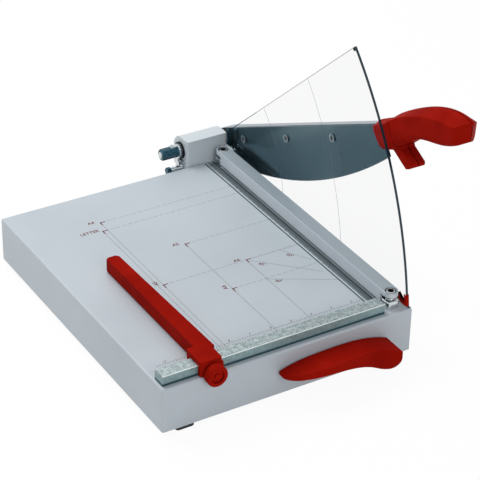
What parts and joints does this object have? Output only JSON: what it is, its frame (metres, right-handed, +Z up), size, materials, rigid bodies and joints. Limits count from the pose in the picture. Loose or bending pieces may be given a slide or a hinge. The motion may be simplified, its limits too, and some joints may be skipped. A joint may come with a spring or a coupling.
{
  "type": "desk lever trimmer",
  "caption": "Desk-top sheet trimmer: steel table, stop bar, sliding back gauge, lever-pressed clamp, clear guard and a curved blade on a handled arm.",
  "frame": {"origin": "cutting datum: the point of the table top where the cutting edge meets the back face of the front stop bar", "axes": "+X to the right, across the cutting edge; +Y along the cutting edge, away from the user; +Z up, normal to the table top"},
  "size_m": [0.3307, 0.4764, 0.3176],
  "materials": {
    "table_paint": "satin",
    "foot_rubber": "matte",
    "black_steel": "satin",
    "zinc_plate": "mottled zinc",
    "ground_steel": "ground",
    "plain_steel": "mill",
    "knife_steel": "ground and oiled",
    "cast_paint": "satin",
    "bright_steel": "polished",
    "spring_steel": "oiled",
    "blue_steel": "blued",
    "friction_lining": "matte",
    "acrylic": "polished",
    "red_plastic": "moulded",
    "bronze": "turned",
    "anodised": "anodised",
    "brass": "turned"
  },
  "bodies": {
    "bed": {"table_shell": "table_paint", "rubber_feet": "foot_rubber", "foot_screws": "black_steel", "stop_bar": "zinc_plate", "stop_bar_screws": "black_steel", "scale_strip": "ground_steel", "strip_carrier": "plain_steel", "side_rail": "plain_steel", "lower_knife": "knife_steel", "knife_screws": "black_steel", "pivot_block": "cast_paint", "block_screws": "black_steel", "back_plate": "plain_steel", "pivot_bolt": "bright_steel", "disc_springs": "spring_steel", "thrust_washer": "bright_steel", "pivot_nut": "blue_steel", "nut_lock_screw": "bright_steel", "spacer_ring": "plain_steel", "friction_washer": "friction_lining", "lock_plate": "bright_steel", "lock_screw": "blue_steel", "guard_panel": "acrylic", "guard_shoe": "red_plastic", "guard_bracket": "cast_paint", "guard_screws": "bright_steel", "post_bushes": "bright_steel", "spring_cups": "bright_steel", "return_springs": "bright_steel", "shaft_hangers": "plain_steel", "shaft_bushes": "bronze"},
    "arm": {"arm_bar": "ground_steel", "upper_blade": "knife_steel", "blade_screws": "black_steel", "blade_dowel": "bright_steel", "arm_bush": "bronze", "handle_left": "red_plastic", "handle_right": "red_plastic", "handle_screws": "black_steel"},
    "clamp": {"clamp_bar": "anodised", "clamp_posts": "bright_steel", "post_yokes": "plain_steel", "post_nuts": "black_steel"},
    "lever": {"clamp_lever": "red_plastic", "lever_pin": "spring_steel", "lever_spacer": "bronze", "torque_shaft": "bright_steel", "cranks": "plain_steel", "crank_pins": "bright_steel", "crank_keys": "spring_steel"},
    "gauge": {"back_gauge": "red_plastic", "gauge_shoe": "brass"},
    "knob": {"gauge_knob": "red_plastic", "knob_stud": "bright_steel"}
  },
  "joints": [
    {"name": "arm_swing", "type": "hinge", "parent": "bed", "child": "arm", "pos_m": [0.011, 0.377, 0.016], "axis": [1, 0, 0], "range_deg": [-24, 25.2]},
    {"name": "lever_swing", "type": "hinge", "parent": "bed", "child": "lever", "pos_m": [-0.045, -0.04, -0.033], "axis": [0, -1, 0], "range_deg": [0, 11.47]},
    {"name": "clamp_press", "type": "slide", "parent": "bed", "child": "clamp", "axis": [0, 0, -1], "range_m": [0, 0.0048], "stiffness_N_per_m": 600, "springref_m": -0.015, "deforming": ["return_springs"]},
    {"name": "gauge_slide", "type": "slide", "parent": "bed", "child": "gauge", "axis": [1, 0, 0], "range_m": [-0.04, 0.2]},
    {"name": "gauge_knob_turn", "type": "hinge", "parent": "gauge", "child": "knob", "pos_m": [-0.2465, -0.028, 0.003], "axis": [0, -1, 0], "range_deg": [0, 180]}
  ],
  "couplings": [
    {"joint": "clamp_press", "follows": "lever_swing", "m_per_rad": 0.02396}
  ]
}
